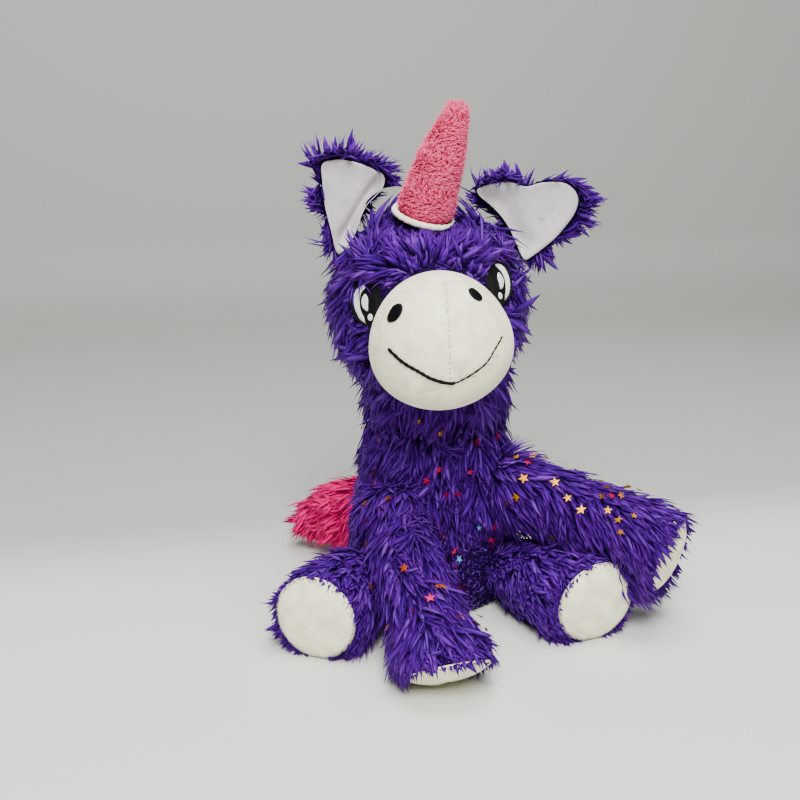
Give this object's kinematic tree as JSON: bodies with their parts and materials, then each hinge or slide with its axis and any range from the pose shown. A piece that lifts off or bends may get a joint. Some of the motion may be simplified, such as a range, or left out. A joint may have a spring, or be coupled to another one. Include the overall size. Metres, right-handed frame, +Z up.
{
  "type": "plush unicorn",
  "caption": "Seated soft toy unicorn with shaggy violet pile, white muzzle and soles, embroidered face, pink plush horn on a cord ring, lined ears and a hot pink tail",
  "frame": {"origin": "middle of the flat patch that the toy sits on, at floor level", "axes": "+Z is up, the toy looks along -Y, and +X is the toy's own left"},
  "size_m": [0.2134, 0.2194, 0.2676],
  "materials": {
    "violet_long_pile": "shaggy violet polyester pile, clumped, with tiny foil stars",
    "hot_pink_long_pile": "hot pink long polyester pile",
    "white_velboa": "off-white short-nap velboa",
    "pink_minky": "pink short-pile minky",
    "cream_cord": "twisted cream cotton cord",
    "black_thread": "black rayon satin stitch",
    "white_thread": "white rayon satin stitch",
    "polyester_fill": "loose white polyester fibre",
    "pellet_bag": "woven bag of plastic beads"
  },
  "bodies": {
    "torso": {"torso_cover": "violet_long_pile", "torso_stuffing": "polyester_fill", "seat_pellet_bag": "pellet_bag"},
    "neck": {"neck_cover": "violet_long_pile", "neck_stuffing": "polyester_fill"},
    "head": {"head_cover": "violet_long_pile", "head_stuffing": "polyester_fill", "muzzle_stuffing": "polyester_fill", "muzzle_cover": "white_velboa", "smile_stitch": "black_thread", "nostril_right": "black_thread", "nostril_left": "black_thread", "eye_right_outline": "black_thread", "eye_right_pupil": "black_thread", "eye_right_white": "white_thread", "eye_right_glints": "white_thread", "eye_left_outline": "black_thread", "eye_left_pupil": "black_thread", "eye_left_white": "white_thread", "eye_left_glints": "white_thread", "horn_ring": "cream_cord"},
    "ear_right": {"ear_right_back": "violet_long_pile", "ear_right_lining": "white_velboa"},
    "ear_left": {"ear_left_back": "violet_long_pile", "ear_left_lining": "white_velboa"},
    "horn": {"horn_cover": "pink_minky", "horn_stuffing": "polyester_fill"},
    "foreleg_right": {"foreleg_right_cover": "violet_long_pile", "foreleg_right_stuffing": "polyester_fill", "foreleg_right_sole": "white_velboa"},
    "foreleg_left": {"foreleg_left_cover": "violet_long_pile", "foreleg_left_stuffing": "polyester_fill", "foreleg_left_sole": "white_velboa"},
    "hind_leg_right": {"hind_leg_right_cover": "violet_long_pile", "hind_leg_right_stuffing": "polyester_fill", "hind_leg_right_sole": "white_velboa"},
    "hind_leg_left": {"hind_leg_left_cover": "violet_long_pile", "hind_leg_left_stuffing": "polyester_fill", "hind_leg_left_sole": "white_velboa"},
    "tail": {"tail_cover": "hot_pink_long_pile", "tail_stuffing": "polyester_fill"}
  },
  "joints": [
    {"name": "head_turn", "type": "hinge", "parent": "torso", "child": "neck", "pos_m": [0, 0, 0.118], "axis": [0, 0, 1], "range_deg": [-35, 35], "stiffness_Nm_per_rad": 0.5},
    {"name": "head_nod", "type": "hinge", "parent": "neck", "child": "head", "pos_m": [0, 0, 0.118], "axis": [-1, 0, 0], "range_deg": [-18, 14], "stiffness_Nm_per_rad": 0.9},
    {"name": "horn_flex", "type": "hinge", "parent": "head", "child": "horn", "pos_m": [-0.01, -0.012, 0.212], "axis": [-1, 0, 0], "range_deg": [-12, 12], "stiffness_Nm_per_rad": 0.08},
    {"name": "ear_right_flop", "type": "hinge", "parent": "head", "child": "ear_right", "pos_m": [-0.041, 0.00285, 0.199], "axis": [0.9563, 0, 0.2924], "range_deg": [-22, 22], "stiffness_Nm_per_rad": 0.03},
    {"name": "ear_left_flop", "type": "hinge", "parent": "head", "child": "ear_left", "pos_m": [0.036, 0.00285, 0.201], "axis": [0.5, 0, -0.866], "range_deg": [-22, 22], "stiffness_Nm_per_rad": 0.03},
    {"name": "foreleg_right_raise", "type": "hinge", "parent": "torso", "child": "foreleg_right", "pos_m": [-0.03098, -0.0344, 0.062], "axis": [-0.9945, -0.1045, 0], "range_deg": [0, 50], "stiffness_Nm_per_rad": 0.3},
    {"name": "foreleg_left_raise", "type": "hinge", "parent": "torso", "child": "foreleg_left", "pos_m": [0.03447, -0.02892, 0.072], "axis": [-0.5446, -0.8387, 0], "range_deg": [0, 50], "stiffness_Nm_per_rad": 0.3},
    {"name": "hind_leg_right_splay", "type": "hinge", "parent": "torso", "child": "hind_leg_right", "pos_m": [-0.03975, -0.02582, 0.0215], "axis": [0, 0, -1], "range_deg": [-4, 25], "stiffness_Nm_per_rad": 0.3},
    {"name": "hind_leg_left_splay", "type": "hinge", "parent": "torso", "child": "hind_leg_left", "pos_m": [0.03631, -0.03047, 0.0215], "axis": [0, 0, 1], "range_deg": [-20, 0], "stiffness_Nm_per_rad": 0.3},
    {"name": "tail_wag", "type": "hinge", "parent": "torso", "child": "tail", "pos_m": [-0.011, 0.04412, 0.037], "axis": [0, 0, 1], "range_deg": [-80, 0], "stiffness_Nm_per_rad": 0.05}
  ]
}
